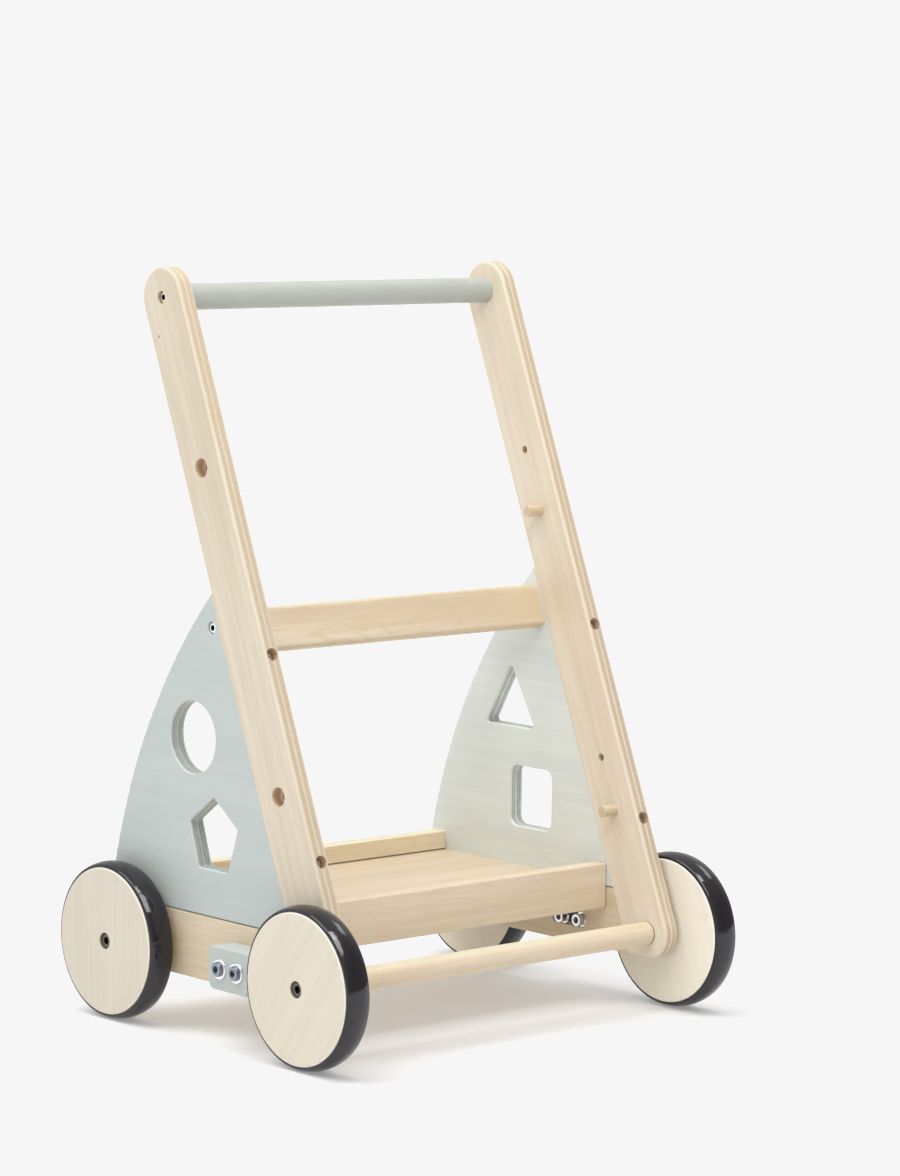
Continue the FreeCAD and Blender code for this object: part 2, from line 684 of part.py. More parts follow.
def tyre(side, y):
    """Rounded rubber tyre with a rib that sits in the disc's groove."""
    low = WHEEL_INNER + TYRE_INSET
    high = WHEEL_OUTER - TYRE_INSET
    middle = 0.5 * (low + high)
    wall_radius = DISC_RADIUS + TYRE_WALL
    # a crown arc between two shoulder arcs, tangent to each other and to the side walls
    sine = math.sin(TYRE_CROWN_SLOPE)
    cosine = math.cos(TYRE_CROWN_SLOPE)
    pitch = math.tan(0.5 * TYRE_CROWN_SLOPE)
    half = middle - low
    bend = (WHEEL_RADIUS - wall_radius - pitch * half) / (cosine - pitch * (1 - sine))
    shoulder = bend * (1 - sine)
    shoulder_radius = wall_radius + bend * cosine
    turn = 0.5 * (0.5 * math.pi - TYRE_CROWN_SLOPE)
    bulge = bend * (1 - math.cos(turn))
    corner_radius = wall_radius + bend * math.sin(turn)
    rib_low = middle - 0.5 * TYRE_RIB_WIDTH
    rib_high = middle + 0.5 * TYRE_RIB_WIDTH
    rib_radius = DISC_RADIUS - TYRE_RIB_DEPTH
    profile = (
        (low, DISC_RADIUS),
        (low, wall_radius),
        ((low + bulge, corner_radius), (low + shoulder, shoulder_radius)),
        ((middle, WHEEL_RADIUS), (high - shoulder, shoulder_radius)),
        ((high - bulge, corner_radius), (high, wall_radius)),
        (high, DISC_RADIUS),
        (rib_high, DISC_RADIUS),
        (rib_high, rib_radius),
        (rib_low, rib_radius),
        (rib_low, DISC_RADIUS),
    )
    return ring(side, y, profile)


def wheel_bush(side, y):
    """Flanged nylon bush pressed into the disc from its inner face."""
    flange_face = FRAME_OUTER + BUSH_END_FLOAT
    end = WHEEL_INNER + BUSH_DEPTH
    body = across(side, flange_face, end, y, WHEEL_RADIUS, DISC_BORE)
    flange = across(side, flange_face, WHEEL_INNER, y, WHEEL_RADIUS, BUSH_FLANGE_RADIUS)
    bore = across(side, flange_face, end, y, WHEEL_RADIUS, BUSH_BORE)
    return body.fuse(flange).removeSplitter().cut(bore)


def head_seat():
    """Distance from the middle to the underside of an axle bolt's head."""
    return WHEEL_INNER + BUSH_DEPTH + BUSH_END_FLOAT


def axle_sleeve(side, y):
    """Steel tube that the wheel turns on, clamped between bolt head and frame."""
    tube = across(side, FRAME_OUTER, head_seat(), y, WHEEL_RADIUS, SLEEVE_RADIUS)
    return tube.cut(across(side, FRAME_OUTER, head_seat(), y, WHEEL_RADIUS, SLEEVE_BORE))


def axle_bolt(side, y):
    """Socket-head bolt that holds a wheel to the frame."""
    length = FRONT_BOLT_LENGTH if y < 0 else REAR_BOLT_LENGTH
    seat = head_seat()
    top = seat + AXLE_HEAD_HEIGHT
    shank = across(side, seat - length, seat, y, WHEEL_RADIUS, AXLE_BOLT_RADIUS)
    head = across(side, seat, top, y, WHEEL_RADIUS, AXLE_HEAD_RADIUS)
    head = round_rim(head, V(side * top, y, WHEEL_RADIUS), AXLE_HEAD_RADIUS, AXLE_HEAD_ROUND)
    bottom = top - AXLE_SOCKET_DEPTH
    socket = hexagon_across(side, bottom, top, y, WHEEL_RADIUS, AXLE_SOCKET_RADIUS)
    return shank.fuse(head).removeSplitter().cut(socket)


def axle_insert(side, y):
    """Threaded insert: long in the crossbar's end, flanged in the side rail."""
    if y < 0:
        outer = FRAME_INNER + SOCKET_DEPTH
        inner = outer - FRONT_INSERT_LENGTH
        body = across(side, inner, outer, y, WHEEL_RADIUS, INSERT_RADIUS)
    else:
        outer = FRAME_INNER + REAR_INSERT_LENGTH
        inner = FRAME_INNER - REAR_INSERT_FLANGE_THICKNESS
        body = across(side, inner, outer, y, WHEEL_RADIUS, INSERT_RADIUS)
        flange = across(side, inner, FRAME_INNER, y, WHEEL_RADIUS, REAR_INSERT_FLANGE)
        body = body.fuse(flange).removeSplitter()
    return body.cut(across(side, inner, outer, y, WHEEL_RADIUS, AXLE_BOLT_RADIUS + DOWEL_FIT))


# ------------------------------------------------------------------- brake blocks
def brake_block(side):
    """Painted block that slides along the rail until it rubs on the front tyre."""
    low = BRAKE_FRONT
    high = BRAKE_FRONT + BRAKE_LENGTH
    z_low = BRAKE_Z - 0.5 * BRAKE_HEIGHT
    z_high = BRAKE_Z + 0.5 * BRAKE_HEIGHT
    corners = [(high, z_high), (low, z_high), (low, z_low), (high, z_low)]
    outline = rounded_polygon((0, 0), corners, BRAKE_CORNER)
    inner = FRAME_OUTER + BRAKE_CLEARANCE
    outer = inner + BRAKE_THICKNESS
    block = slab(outline, side, inner, outer)
    block = soften(block, ARRIS, lambda point: abs(side * point.x - outer) < NEAR)
    for y in brake_bolt_places():
        block = block.cut(across(side, inner, outer, y, BRAKE_Z, BRAKE_BOLT_HOLE))
    return block


def brake_bolts(side):
    """Two flanged socket-head bolts through a brake block."""
    seat = FRAME_OUTER + BRAKE_CLEARANCE + BRAKE_THICKNESS
    flange_top = seat + BRAKE_FLANGE_THICKNESS
    top = flange_top + BRAKE_HEAD_HEIGHT
    tip = nut_end() + NUT_END_DEPTH
    group = []
    for y in brake_bolt_places():
        shank = across(side, tip, seat, y, BRAKE_Z, BRAKE_BOLT_RADIUS)
        flange = across(side, seat, flange_top, y, BRAKE_Z, BRAKE_FLANGE_RADIUS)
        rim = V(side * flange_top, y, BRAKE_Z)
        flange = round_rim(flange, rim, BRAKE_FLANGE_RADIUS, BRAKE_FLANGE_ROUND)
        head = across(side, flange_top, top, y, BRAKE_Z, BRAKE_HEAD_RADIUS)
        rim = V(side * top, y, BRAKE_Z)
        head = round_rim(head, rim, BRAKE_HEAD_RADIUS, BRAKE_HEAD_ROUND)
        bolt = shank.fuse([flange, head]).removeSplitter()
        socket = hexagon_across(side, top - BRAKE_SOCKET_DEPTH, top, y, BRAKE_Z, BRAKE_SOCKET_RADIUS)
        group.append(bolt.cut(socket))
    return Part.makeCompound(group)


def nut_end():
    """Distance from the middle to the free end of a brake nut's barrel."""
    return FRAME_INNER - NUT_BARREL_LENGTH


def brake_nuts(side):
    """Two flanged sleeve nuts that slide in the rail's slot."""
    flange_outer = FRAME_INNER + SLOT_RECESS_DEPTH - SLOT_CLEARANCE
    flange_inner = flange_outer - NUT_FLANGE_THICKNESS
    neck_end = FRAME_OUTER + BRAKE_CLEARANCE
    group = []
    for y in brake_bolt_places():
        neck = across(side, flange_outer, neck_end, y, BRAKE_Z, NUT_NECK_RADIUS)
        flange = across(side, flange_inner, flange_outer, y, BRAKE_Z, NUT_FLANGE_RADIUS)
        barrel = across(side, nut_end(), flange_inner, y, BRAKE_Z, NUT_BARREL_RADIUS)
        nut = neck.fuse([flange, barrel]).removeSplitter()
        bore = across(side, nut_end(), neck_end, y, BRAKE_Z, BRAKE_BOLT_RADIUS + DOWEL_FIT)
        group.append(nut.cut(bore))
    return Part.makeCompound(group)


# ---------------------------------------------------------------------- all nodes
def side_nodes(name, side):
    """Nodes that come once for each side of the walker."""
    handle_place = V(0, HANDLE_Y, HANDLE_Z)
    nodes = {
        f"upright_{name}": upright(side),
        f"side_panel_{name}": side_panel(side),
        f"side_rail_{name}": side_rail(side),
        f"handle_screw_{name}": side_screw(side, HANDLE_SCREW_DEPTH, handle_place),
        f"cross_rail_screw_{name}": side_screw(side, CROSS_SCREW_DEPTH, cross_screw_place()),
        f"panel_dowels_{name}": Part.makeCompound([panel_dowel(side, y) for y in PANEL_DOWEL_Y]),
        f"foot_dowels_{name}": Part.makeCompound([foot_dowel(side, z) for z in FOOT_DOWEL_HEIGHTS]),
        f"brake_block_{name}": brake_block(side),
        f"brake_bolts_{name}": brake_bolts(side),
        f"brake_nuts_{name}": brake_nuts(side),
    }
    for level, z in PEG_HEIGHTS.items():
        nodes[f"peg_{level}_{name}"] = peg(side, z)
    for level, z in EDGE_SCREW_HEIGHTS.items():
        nodes[f"upright_screw_{level}_{name}"] = edge_screw(side, z)
    return nodes


def wheel_nodes(end_name, end, side_name, side):
    """Nodes that come once for each wheel."""
    y = end * HALF_WHEELBASE
    corner = f"{end_name}_{side_name}"
    return {
        f"wheel_disc_{corner}": wheel_disc(side, y),
        f"tyre_{corner}": tyre(side, y),
        f"wheel_bush_{corner}": wheel_bush(side, y),
        f"axle_sleeve_{corner}": axle_sleeve(side, y),
        f"axle_bolt_{corner}": axle_bolt(side, y),
        f"axle_insert_{corner}": axle_insert(side, y),
    }


def all_nodes():
    """Every node of the walker by name."""
    nodes = {
        "handle": handle(),
        "front_crossbar": front_crossbar(),
        "cross_rail": cross_rail(),
        "tray_floor": tray_floor(),
        "tray_front_board": tray_board(TRAY_FRONT),
        "tray_rear_board": tray_board(TRAY_REAR),
        "tray_dowels": tray_dowels(),
    }
    for side_name, side in SIDES.items():
        nodes.update(side_nodes(side_name, side))
        for end_name, end in ENDS.items():
            nodes.update(wheel_nodes(end_name, end, side_name, side))
    return nodes


os.makedirs("parts", exist_ok=True)
for node_name, shape in all_nodes().items():
    solids = shape.Solids
    if not shape.isValid() or not solids:
        raise RuntimeError(f"{node_name} is not a valid solid")
    shape.exportStep(f"parts/{node_name}.step")
    print(f"{node_name}: {len(solids)} solid(s), {shape.Volume:.0f} mm3")
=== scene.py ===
"""Looks of the wooden baby walker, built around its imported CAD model.

Metres, in the shared frame: +Z up, X across the walker, -Y its front.  Every wood,
paint, rubber and metal is a pattern in the object's own coordinates, so it stays
on its board or wheel when the model is posed.
"""
import math

import bpy
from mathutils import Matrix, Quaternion, Vector


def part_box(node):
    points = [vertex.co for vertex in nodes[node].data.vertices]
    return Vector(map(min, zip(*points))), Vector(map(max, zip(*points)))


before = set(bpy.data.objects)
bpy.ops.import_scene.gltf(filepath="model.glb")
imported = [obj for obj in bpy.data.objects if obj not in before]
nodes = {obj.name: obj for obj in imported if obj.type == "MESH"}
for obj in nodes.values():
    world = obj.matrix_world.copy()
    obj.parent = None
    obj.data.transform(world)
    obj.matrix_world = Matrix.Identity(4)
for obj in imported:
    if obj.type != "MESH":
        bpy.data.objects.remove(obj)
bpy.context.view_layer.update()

# ------------------------------------------------------- places read from the frame
FACE_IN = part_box("side_panel_right")[0].x          # inner face of a frame board
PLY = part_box("side_panel_right")[1].x - FACE_IN
HUB = 0.5 * (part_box("tyre_front_right")[0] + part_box("tyre_front_right")[1])
PANEL_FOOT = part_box("side_panel_right")[0].z       # where the panels stand on the rails
FLOOR_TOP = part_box("tray_floor")[1].z
JOINT_DEPTH = 0.003                                # how far back the rear joint line runs
REAR_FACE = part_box("tray_rear_board")[0].y + JOINT_DEPTH
DISC_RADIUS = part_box("wheel_disc_front_right")[1].z - HUB.z
DISC_BORE = 0.0055                                 # radius of a wheel disc's hole

# -------------------------------------------------------------------- driving values
LEAN = math.atan(0.4)                              # the uprights' lean from vertical
PLIES = 5
PLY_STEP = PLY / PLIES

# small flaws: a knot on the left upright, a faint painted-over dent on the left panel,
# and a scratch along the front of the handle near its right end
UPRIGHT_KNOT = (-0.15, 0.0757, 0.4648)
PANEL_DENT = (-0.15, 0.078, 0.1647)
DENT_RADIUS = 0.0042
KNOT_RADIUS = 0.0008
HANDLE_SCRATCH = (0.107, 0.068, 0.0)

TARGET = Vector((0.044, 0.0, 0.2905))
CAMERA_AZIMUTH = math.radians(-41.15)
CAMERA_ELEVATION = math.radians(6.285)
CAMERA_DISTANCE = 2.8904
CAMERA_ROLL = math.radians(0.65)
LENS = 128.55
SENSOR = 36.0
NEAR_CLIP = 0.05
FAR_CLIP = 200.0

# the white studio: how bright the room looks, and the lamps in it
ROOM = 0.66
PAPER = 0.922
FLOOR_SIZE = 60.0
FLOOR_COLOUR = (0.8, 0.8, 0.805, 1.0)
FLOOR_GLOW = (0.24, 0.24, 0.24, 1.0)


def paint(red, green, blue):
    """Linear colour of an sRGB one, 0 to 255."""
    def linear(value):
        value /= 255
        return value / 12.92 if value <= 0.04045 else ((value + 0.055) / 1.055) ** 2.4
    return (linear(red), linear(green), linear(blue), 1.0)


# ------------------------------------------------------------------ node-tree helpers
class Pattern:
    """One material's node tree, with short ways to add what the patterns need."""

    def __init__(self, name):
        self.material = bpy.data.materials.new(name)
        self.material.use_nodes = True
        self.tree = self.material.node_tree
        self.shader = self.tree.nodes["Principled BSDF"]
        self.place = self.tree.nodes.new("ShaderNodeTexCoord").outputs["Object"]

    def feed(self, socket, value):
        """Link a socket to another one, or set it to a plain value."""
        if isinstance(value, bpy.types.NodeSocket):
            self.tree.links.new(value, socket)
        else:
            socket.default_value = value

    def node(self, kind, *values, **settings):
        """Add a node, set its options and feed its first inputs in order."""
        made = self.tree.nodes.new(kind)
        for key, value in settings.items():
            setattr(made, key, value)
        for socket, value in zip(made.inputs, values):
            if value is not None:
                self.feed(socket, value)
        return made

    def math(self, operation, *values):
        """A Math node's result."""
        return self.node("ShaderNodeMath", *values, operation=operation).outputs[0]

    def vector(self, operation, *values, result="Vector"):
        """A Vector Math node's result."""
        made = self.node("ShaderNodeVectorMath", *values, operation=operation)
        return made.outputs[result]

    def split(self, vector):
        """The three parts of a vector."""
        return self.node("ShaderNodeSeparateXYZ", vector).outputs

    def join(self, x, y, z):
        """A vector from its three parts."""
        return self.node("ShaderNodeCombineXYZ", x, y, z).outputs[0]

    def cells(self, size, turn=(0.0, 0.0, 0.0), start=(0.0, 0.0, 0.0)):
        """Coordinates counted in cells of that size, along turned axes."""
        made = self.node("ShaderNodeMapping", vector_type="TEXTURE")
        self.feed(made.inputs["Vector"], self.place)
        made.inputs["Location"].default_value = start
        made.inputs["Rotation"].default_value = turn
        made.inputs["Scale"].default_value = size
        return made.outputs[0]

    def noise(self, vector, detail=2.0, roughness=0.5, distortion=0.0):
        """Noise with one lump per cell, about 0.5 in the middle."""
        made = self.node("ShaderNodeTexNoise")
        self.feed(made.inputs["Vector"], vector)
        made.inputs["Scale"].default_value = 1.0
        made.inputs["Detail"].default_value = detail
        made.inputs["Roughness"].default_value = roughness
        made.inputs["Distortion"].default_value = distortion
        return made.outputs[0]

    def step(self, value, low, high, start=0.0, end=1.0):
        """Smooth step of value between low and high, from start to end."""
        made = self.node("ShaderNodeMapRange", value, low, high, start, end)
        made.interpolation_type = "SMOOTHSTEP"
        return made.outputs[0]

    def mix(self, share, first, second, blend="MIX"):
        """Colour between the first and the second."""
        made = self.node("ShaderNodeMix", data_type="RGBA", blend_type=blend)
        self.feed(made.inputs[0], share)
        self.feed(made.inputs[6], first)
        self.feed(made.inputs[7], second)
        return made.outputs[2]

    def bump(self, height, depth, below=None):
        """Normal of a height pattern (0 to 1) that is depth metres deep."""
        made = self.node("ShaderNodeBump")
        made.inputs["Strength"].default_value = 1.0
        made.inputs["Distance"].default_value = depth
        self.feed(made.inputs["Height"], height)
        if below is not None:
            self.feed(made.inputs["Normal"], below)
        return made.outputs[0]

    def finish(self, **sockets):
        """Set the shader's sockets by name and hand over the material."""
        for key, value in sockets.items():
            self.feed(self.shader.inputs[key.replace("_", " ")], value)
        return self.material


# ------------------------------------------------------------------------------ wood
# turns that lay the pattern's long axis (Z) along each board's grain
UP_THE_SLOPE = (-LEAN, 0.0, 0.0)
ALONG_Y = (math.radians(-90), 0.0, 0.0)
ACROSS_X = (0.0, math.radians(90), 0.0)


def grain(pattern, turn, start=(0.0, 0.0, 0.0)):
    """Wood figure along a turned Z axis: bands, fine fibres, short pores, ring lines."""
    clouds = pattern.noise(pattern.cells((0.03, 0.03, 0.25), turn, start), 3.0)
    bands = pattern.noise(pattern.cells((0.005, 0.005, 0.16), turn, start), 4.0, 0.6, 0.4)
    fibres = pattern.noise(pattern.cells((0.0007, 0.0007, 0.03), turn, start), 3.0, 0.6)
    specks = pattern.noise(pattern.cells((0.0009, 0.0009, 0.004), turn, start), 2.0, 0.5)
    broad = pattern.math("MULTIPLY_ADD", clouds, 0.5, pattern.math("MULTIPLY", bands, 0.5))
    pores = pattern.step(specks, 0.69, 0.79)
    hills = pattern.noise(pattern.cells((0.014, 0.014, 0.1), turn, start), 2.0, 0.4, 0.3)
    rings = pattern.math("PINGPONG", pattern.math("MULTIPLY", hills, 15.0), 1.0)
    return broad, fibres, pores, pattern.step(rings, 0.6, 1.0)


def wood_colour(pattern, figure, light, dark, pore, strength=1.0, figured=0.4):
    """Light wood with darker bands, faint fibres, short dark pores and ring lines."""
    broad, fibres, pores, rings = figure
    colour = pattern.mix(pattern.step(broad, 0.36, 0.66), light, dark)
    fine = pattern.step(fibres, 0.35, 0.75, 0.0, 0.35 * strength)
    colour = pattern.mix(fine, colour, dark)
    colour = pattern.mix(pattern.math("MULTIPLY", rings, 0.5 * figured), colour, dark)
    return pattern.mix(pattern.math("MULTIPLY", pores, 0.7 * strength), colour, pore)


def solid_wood(name, turn, light, dark, pore, start=(0.0, 0.0, 0.0), figured=0.6, joint=None):
    """Lacquered solid wood with its grain along the turned Z axis.

    A joint is (axis, place, depth): a dark hairline where another piece meets this one,
    no further back than that depth."""
    pattern = Pattern(name)
    figure = grain(pattern, turn, start)
    colour = wood_colour(pattern, figure, light, dark, pore, 1.0, figured)
    if joint:
        across = pattern.math("ABSOLUTE", pattern.split(pattern.place)[joint[0]])
        gap = pattern.math("ABSOLUTE", pattern.math("SUBTRACT", across, joint[1]))
        near = pattern.step(pattern.split(pattern.place)[1], joint[2], joint[2] + 0.001, 0.85, 0.0)
        line = pattern.math("MULTIPLY", pattern.step(gap, 0.0002, 0.0008, 1.0, 0.0), near)
        colour = pattern.mix(line, colour, JOINT)
    rough = pattern.step(figure[1], 0.2, 0.8, 0.42, 0.56)
    normal = pattern.bump(figure[1], 0.00006)
    normal = pattern.bump(pattern.math("SUBTRACT", 1.0, figure[2]), 0.00008, normal)
    return pattern.finish(
        Base_Color=colour, Roughness=rough, Normal=normal, Coat_Weight=0.08, Coat_Roughness=0.3
    )


def hub_distance(pattern):
    """Distance from the axle of the wheel a point is on, and the angle round it."""
    y = pattern.math("ABSOLUTE", pattern.split(pattern.place)[1])
    along = pattern.math("SUBTRACT", y, abs(HUB.y))
    up = pattern.math("SUBTRACT", pattern.split(pattern.place)[2], HUB.z)
    spoke = pattern.vector("LENGTH", pattern.join(0.0, along, up), result="Value")
    return spoke, pattern.math("ARCTAN2", up, along)


def wheel_wood(name, turn, colours, start):
    """Fine pale disc: quiet grain, a painted highlight on the rim and painted shade in the hole round the
    axle.
    """
    pattern = Pattern(name)
    figure = grain(pattern, turn, (0.0, 0.0, start))
    colour = wood_colour(pattern, figure, *colours, strength=0.25, figured=0.15)
    spoke = hub_distance(pattern)[0]
    # painted highlight: a lighter band along the disc's rounded rim
    rim = pattern.step(spoke, DISC_RADIUS - 0.0011, DISC_RADIUS - 0.0004)
    colour = pattern.mix(pattern.math("MULTIPLY", rim, 0.6), colour, paint(250, 244, 228))
    # painted shade: the hole round the axle drawn dark brown
    bore_shade = pattern.step(spoke, DISC_BORE, DISC_BORE + 0.0003, 0.85, 0.0)
    colour = pattern.mix(bore_shade, colour, paint(138, 112, 84))
    normal = pattern.bump(figure[1], 0.00003)
    rough = pattern.step(figure[1], 0.2, 0.8, 0.42, 0.54)
    return pattern.finish(
        Base_Color=colour, Roughness=rough, Normal=normal, Coat_Weight=0.08, Coat_Roughness=0.3
    )


def ply_layers(pattern):
    """Frame-board plywood by depth from its faces.

    Gives the shares of cross ply, glue line, all inner plies and softened arris; the arris share carries a
    painted highlight."""
    across = pattern.math("ABSOLUTE", pattern.split(pattern.place)[0])
    depth = pattern.math("SUBTRACT", across, FACE_IN)
    nearest = pattern.math("MINIMUM", depth, pattern.math("SUBTRACT", PLY, depth))
    inner = pattern.step(nearest, 0.0007, 0.0011)
    wobble = pattern.noise(pattern.cells((0.02, 0.02, 0.05)), 2.0)
    shift = pattern.math("MULTIPLY", pattern.math("SUBTRACT", wobble, 0.5), 0.0005)
    count = pattern.math("DIVIDE", pattern.math("ADD", depth, shift), PLY_STEP)
    cross = pattern.math("MODULO", pattern.math("FLOOR", count), 2.0)
    inside = pattern.math("FRACT", count)
    border = pattern.math("MINIMUM", inside, pattern.math("SUBTRACT", 1.0, inside))
    glue = pattern.step(border, 0.02, 0.12, 1.0, 0.0)
    outer = pattern.step(nearest, 0.0007, 0.0011, 1.0, 0.0)
    arris = pattern.math("MULTIPLY", pattern.step(nearest, 0.00005, 0.0003), outer)
    cross = pattern.math("MULTIPLY", cross, inner)
    glue = pattern.math("MULTIPLY", glue, inner)
    return cross, glue, inner, arris


def knot(pattern, colour, centre, radius):
    """Small brown speck in the wood at a place on its face."""
    apart = pattern.vector("DISTANCE", pattern.place, centre, result="Value")
    ragged = pattern.noise(pattern.cells((0.0008, 0.0008, 0.0008)), 2.0)
    reach = pattern.math("MULTIPLY_ADD", ragged, -0.0008, apart)
    return pattern.mix(pattern.step(reach, 0.3 * radius, radius, 0.85, 0.0), colour, KNOT)


def shade_in_holes(pattern, colour):
    """Painted shade: wood drawn warm brown deep inside a board's own holes, wherever ambient occlusion finds
    them.
    """
    crevice = pattern.node("ShaderNodeAmbientOcclusion", samples=6, only_local=True)
    crevice.inputs["Distance"].default_value = 0.012
    painted_shade = pattern.step(crevice.outputs["AO"], 0.3, 0.7, 0.55, 0.0)
    return pattern.mix(painted_shade, colour, HOLE_SHADE)


def plywood(name, turn, light, dark, pore):
    """Birch plywood: veneer on the faces, its layers on the edges and in the holes, a painted highlight on
    the arris and painted shade deep in the holes.
    """
    pattern = Pattern(name)
    figure = grain(pattern, turn)
    cross, glue, inner, arris = ply_layers(pattern)
    face = wood_colour(pattern, figure, light, dark, pore)
    ends = pattern.noise(pattern.cells((0.0006, 0.0006, 0.0006)), 3.0, 0.7)
    end_grain = pattern.mix(pattern.step(ends, 0.3, 0.7), CROSS_LIGHT, CROSS_DARK)
    face = pattern.mix(pattern.math("MULTIPLY", inner, 0.35), face, CROSS_LIGHT)
    colour = pattern.mix(cross, face, end_grain)
    line = pattern.noise(pattern.cells((0.002, 0.002, 0.02), turn), 2.0)
    line = pattern.step(line, 0.3, 0.6, 0.25, 0.8)
    colour = pattern.mix(pattern.math("MULTIPLY", glue, line), colour, GLUE)
    # painted highlight: the softened arris drawn a little lighter
    colour = pattern.mix(pattern.math("MULTIPLY", arris, 0.1), colour, ARRIS_HIGHLIGHT)
    colour = knot(pattern, colour, UPRIGHT_KNOT, KNOT_RADIUS)
    # painted shade deep in the board's own holes
    colour = shade_in_holes(pattern, colour)
    rough = pattern.step(figure[1], 0.2, 0.8, 0.42, 0.54)
    rough = pattern.math("ADD", rough, pattern.math("MULTIPLY", cross, 0.1))
    normal = pattern.bump(figure[1], 0.00005)
    normal = pattern.bump(pattern.math("SUBTRACT", 1.0, glue), 0.00008, normal)
    return pattern.finish(
        Base_Color=colour, Roughness=rough, Normal=normal, Coat_Weight=0.08, Coat_Roughness=0.3
    )


CROSS_LIGHT = paint(208, 192, 167)
CROSS_DARK = paint(188, 166, 136)
GLUE = paint(172, 148, 116)
PORE = paint(168, 140, 108)
KNOT = paint(150, 104, 66)
# painted shade colour for deep inside holes
HOLE_SHADE = paint(198, 158, 114)
# painted highlight colour for the softened arris
ARRIS_HIGHLIGHT = paint(232, 222, 202)


# ----------------------------------------------------------------------------- paint
def painted(name, base, deep, with_layers=False):
    """Satin paint with the wood's grain showing faintly through it."""
    pattern = Pattern(name)
    figure = grain(pattern, ALONG_Y)
    shade = pattern.mix(pattern.step(figure[0], 0.35, 0.65, 0.0, 0.4), base, deep)
    peel = pattern.noise(pattern.cells((0.0015, 0.0015, 0.0015)), 2.0, 0.4)
    normal = pattern.bump(peel, 0.00003)
    normal = pattern.bump(figure[1], 0.00004, normal)
    rough = pattern.step(peel, 0.3, 0.7, 0.42, 0.52)
    if not with_layers:
        away = pattern.vector("SUBTRACT", pattern.place, HANDLE_SCRATCH)
        x, y, _ = pattern.split(pattern.vector("ABSOLUTE", away))
        line = pattern.step(y, 0.0002, 0.0007, 1.0, 0.0)
        line = pattern.math("MULTIPLY", line, pattern.step(x, 0.008, 0.014, 1.0, 0.0))
        worn = pattern.noise(pattern.cells((0.003, 0.0004, 0.01)), 2.0)
        line = pattern.math("MULTIPLY", line, pattern.step(worn, 0.45, 0.6, 0.0, 0.7))
        shade = pattern.mix(line, shade, KNOT)
    if with_layers:
        apart = pattern.vector("DISTANCE", pattern.place, PANEL_DENT, result="Value")
        apart = pattern.math("ABSOLUTE", pattern.math("SUBTRACT", apart, DENT_RADIUS))
        ring = pattern.step(apart, 0.0002, 0.0012, 1.0, 0.0)
        shade = pattern.mix(pattern.math("MULTIPLY", ring, 0.15), shade, PAINT_SOAKED)
        normal = pattern.bump(ring, 0.00015, normal)
        cross, glue, _, arris = ply_layers(pattern)
        streaks = pattern.noise(pattern.cells((0.0012, 0.008, 0.008)), 3.0, 0.6)
        broken = pattern.math("MULTIPLY", glue, pattern.step(streaks, 0.4, 0.54))
        soaked = pattern.math("MULTIPLY_ADD", cross, 0.5, pattern.math("MULTIPLY", glue, 0.6))
        shade = pattern.mix(soaked, shade, PAINT_SOAKED)
        shade = pattern.mix(pattern.math("MULTIPLY", broken, 0.85), shade, PAINT_GROOVE)
        # painted highlight: the paint drawn lighter along the softened arris
        shade = pattern.mix(pattern.math("MULTIPLY", arris, 0.55), shade, PAINT_ARRIS_HIGHLIGHT)
        height = pattern.split(pattern.place)[2]
        joint = pattern.step(height, PANEL_FOOT + 0.0002, PANEL_FOOT + 0.0008, 0.75, 0.0)
        shade = pattern.mix(joint, shade, JOINT)
        normal = pattern.bump(pattern.math("SUBTRACT", 1.0, broken), 0.0002, normal)
        rough = pattern.math("ADD", rough, pattern.math("MULTIPLY", cross, 0.15))
    return pattern.finish(Base_Color=shade, Roughness=rough, Normal=normal)


PAINT = paint(190, 198, 195)
PAINT_SOAKED = paint(160, 166, 152)
PAINT_GROOVE = paint(96, 84, 66)
PAINT_DEEP = paint(178, 187, 184)
# painted highlight colour for the paint's softened arris
PAINT_ARRIS_HIGHLIGHT = paint(224, 230, 226)
# painted light: a lighter copy of the same panel paint for the right panel, standing in for light on its
# inner face
PAINT_RIGHT_LIT = paint(219, 224, 219)
BLOCK_PAINT = paint(182, 190, 186)
HANDLE_DEEP = paint(164, 168, 160)
HANDLE_PAINT = paint(176, 179, 171)
JOINT = paint(72, 60, 48)


# ---------------------------------------------------------------------------- rubber
def rubber(name):
    """Glossy black moulded rubber, with streaks that run round the tyre."""
    pattern = Pattern(name)
    across = pattern.math("ABSOLUTE", pattern.split(pattern.place)[0])
    spoke, angle = hub_distance(pattern)
    across = pattern.math("MULTIPLY", across, 500.0)
    swirl = pattern.join(across, pattern.math("MULTIPLY", spoke, 500.0), angle)
    streaks = pattern.noise(swirl, 3.0, 0.6)
    dust = pattern.noise(pattern.cells((0.0012, 0.0012, 0.0012)), 3.0, 0.7)
    specks = pattern.step(dust, 0.68, 0.8)
    colour = pattern.mix(pattern.step(streaks, 0.3, 0.8), paint(26, 22, 27), paint(37, 32, 38))
    colour = pattern.mix(pattern.math("MULTIPLY", specks, 0.25), colour, paint(120, 112, 106))
    waves = pattern.noise(pattern.cells((0.01, 0.01, 0.01)), 2.0, 0.5)
    normal = pattern.bump(waves, 0.0004)
    normal = pattern.bump(streaks, 0.00001, normal)
    rough = pattern.step(streaks, 0.3, 0.7, 0.07, 0.14)
    rough = pattern.math("ADD", rough, pattern.math("MULTIPLY", specks, 0.3))
    return pattern.finish(Base_Color=colour, Roughness=rough, Normal=normal, IOR=1.55)


